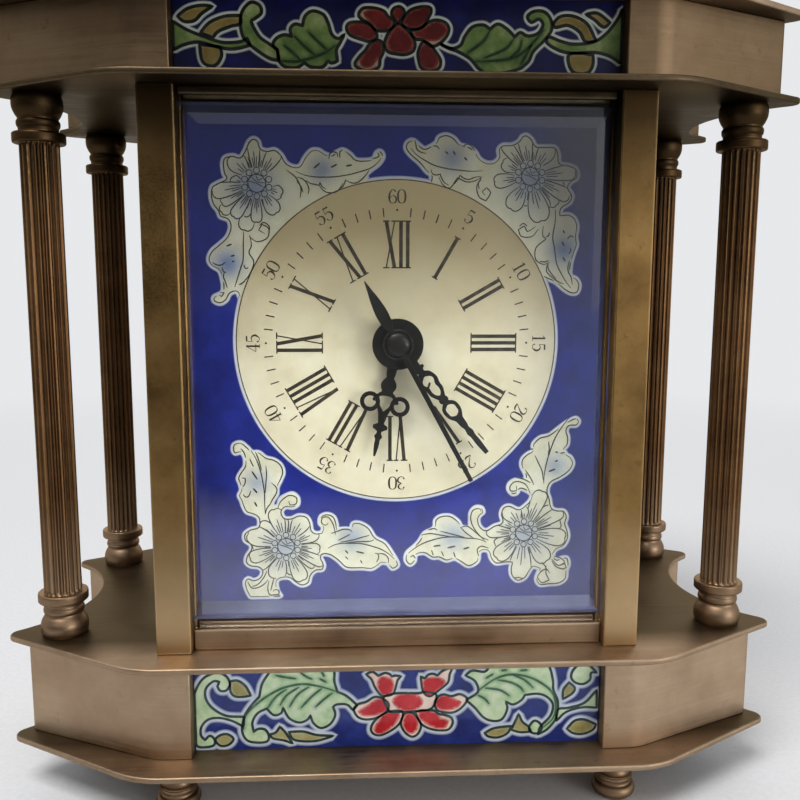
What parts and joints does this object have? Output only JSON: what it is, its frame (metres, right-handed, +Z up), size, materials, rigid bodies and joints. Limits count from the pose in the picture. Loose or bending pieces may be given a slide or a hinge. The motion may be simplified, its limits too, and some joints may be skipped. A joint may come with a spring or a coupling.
{
  "type": "table clock",
  "caption": "Four-column table clock with a glazed case, enamel dial and panels, a sweep-seconds mechanical movement, a hinged rear door and a folding handle.",
  "frame": {"origin": "on the table under the middle of the clock", "axes": "+Z up, the dial faces -Y, +X to the right seen from the front"},
  "size_m": [0.16, 0.083, 0.1932],
  "materials": {
    "bronze": "satin patinated bronze with fine brushed grain",
    "dark_bronze": "darker patinated bronze sheet with brighter rubbed edges",
    "glass": "clear polished glass with bevelled edges",
    "blue_enamel": "glossy ultramarine enamel on copper with floral decoration",
    "black_metal": "black lacquered steel",
    "steel": "polished steel",
    "brass": "lightly polished brass"
  },
  "bodies": {
    "case": {"base_lower_plate": "dark_bronze", "base_side_right": "bronze", "base_side_left": "bronze", "base_enamel_panel": "blue_enamel", "base_rear_panel": "bronze", "base_upper_plate": "dark_bronze", "foot_front_left": "bronze", "foot_front_right": "bronze", "foot_rear_left": "bronze", "foot_rear_right": "bronze", "column_front_left": "bronze", "column_front_right": "bronze", "column_rear_left": "bronze", "column_rear_right": "bronze", "post_front_left": "bronze", "post_front_right": "bronze", "post_rear_left": "bronze", "post_rear_right": "bronze", "case_floor": "bronze", "case_ceiling": "bronze", "front_glass": "glass", "side_glass_right": "glass", "side_glass_left": "glass", "door_pin_lower": "brass", "door_pin_upper": "brass", "top_lower_plate": "dark_bronze", "top_side_right": "bronze", "top_side_left": "bronze", "top_enamel_panel": "blue_enamel", "top_rear_panel": "bronze", "top_upper_plate": "dark_bronze", "handle_ear_right": "bronze", "handle_ear_left": "bronze", "dial_plate": "blue_enamel", "movement_front_plate": "brass", "movement_back_plate": "brass", "hairspring": "steel"},
    "minute": {"centre_wheel": "brass", "cannon_pinion": "brass", "minute_hand": "black_metal"},
    "hour": {"hour_wheel": "brass", "hour_hand": "black_metal"},
    "seconds": {"seconds_wheel": "brass", "seconds_hand": "black_metal"},
    "third": {"third_wheel": "brass"},
    "barrel": {"spring_barrel": "brass"},
    "escape": {"escape_wheel": "brass"},
    "motion": {"minute_wheel": "brass"},
    "setting": {"setting_arbor": "brass", "setting_knob": "brass"},
    "winding": {"winding_arbor": "steel", "winding_key": "brass"},
    "lever": {"pallet_lever": "steel"},
    "balance": {"balance_wheel": "brass"},
    "door": {"door_frame": "bronze", "door_glass": "glass", "door_knob": "brass"},
    "handle": {"handle_bail": "bronze"}
  },
  "joints": [
    {"name": "minute_turn", "type": "hinge", "parent": "case", "child": "minute", "pos_m": [0, 0, 0.0934], "axis": [0, 1, 0], "continuous": true},
    {"name": "hour_turn", "type": "hinge", "parent": "case", "child": "hour", "pos_m": [0, 0, 0.0934], "axis": [0, 1, 0], "continuous": true},
    {"name": "seconds_turn", "type": "hinge", "parent": "case", "child": "seconds", "pos_m": [0, 0, 0.0934], "axis": [0, 1, 0], "continuous": true},
    {"name": "third_turn", "type": "hinge", "parent": "case", "child": "third", "pos_m": [0.01077, 0, 0.10719], "axis": [0, 1, 0], "continuous": true},
    {"name": "barrel_turn", "type": "hinge", "parent": "case", "child": "barrel", "pos_m": [0, 0, 0.0689], "axis": [0, 1, 0], "continuous": true},
    {"name": "escape_turn", "type": "hinge", "parent": "case", "child": "escape", "pos_m": [-0.01524, 0, 0.1022], "axis": [0, 1, 0], "continuous": true},
    {"name": "motion_turn", "type": "hinge", "parent": "case", "child": "motion", "pos_m": [0.01039, 0, 0.0874], "axis": [0, 1, 0], "continuous": true},
    {"name": "setting_turn", "type": "hinge", "parent": "case", "child": "setting", "pos_m": [0.02338, 0, 0.0799], "axis": [0, 1, 0], "continuous": true},
    {"name": "winding_turn", "type": "hinge", "parent": "case", "child": "winding", "pos_m": [0, 0, 0.0689], "axis": [0, 1, 0], "range_deg": [0, 2160]},
    {"name": "lever_rock", "type": "hinge", "parent": "case", "child": "lever", "pos_m": [-0.01649, 0, 0.10929], "axis": [0, 1, 0], "range_deg": [-4, 4]},
    {"name": "balance_swing", "type": "hinge", "parent": "case", "child": "balance", "pos_m": [-0.01483, 0, 0.11874], "axis": [0, 1, 0], "range_deg": [-135, 135], "stiffness_Nm_per_rad": 0.000015},
    {"name": "door_swing", "type": "hinge", "parent": "case", "child": "door", "pos_m": [0.0383, 0.0313, 0.0872], "axis": [0, 0, -1], "range_deg": [0, 90]},
    {"name": "handle_fold", "type": "hinge", "parent": "case", "child": "handle", "pos_m": [0, 0, 0.1643], "axis": [1, 0, 0], "range_deg": [-85, 85]}
  ],
  "couplings": [
    {"joint": "hour_turn", "follows": "minute_turn", "ratio": 0.083333},
    {"joint": "seconds_turn", "follows": "minute_turn", "ratio": 60},
    {"joint": "third_turn", "follows": "minute_turn", "ratio": -8},
    {"joint": "barrel_turn", "follows": "minute_turn", "ratio": -0.16667},
    {"joint": "escape_turn", "follows": "minute_turn", "ratio": -480},
    {"joint": "motion_turn", "follows": "minute_turn", "ratio": -0.33333},
    {"joint": "setting_turn", "follows": "minute_turn", "ratio": 0.5}
  ]
}
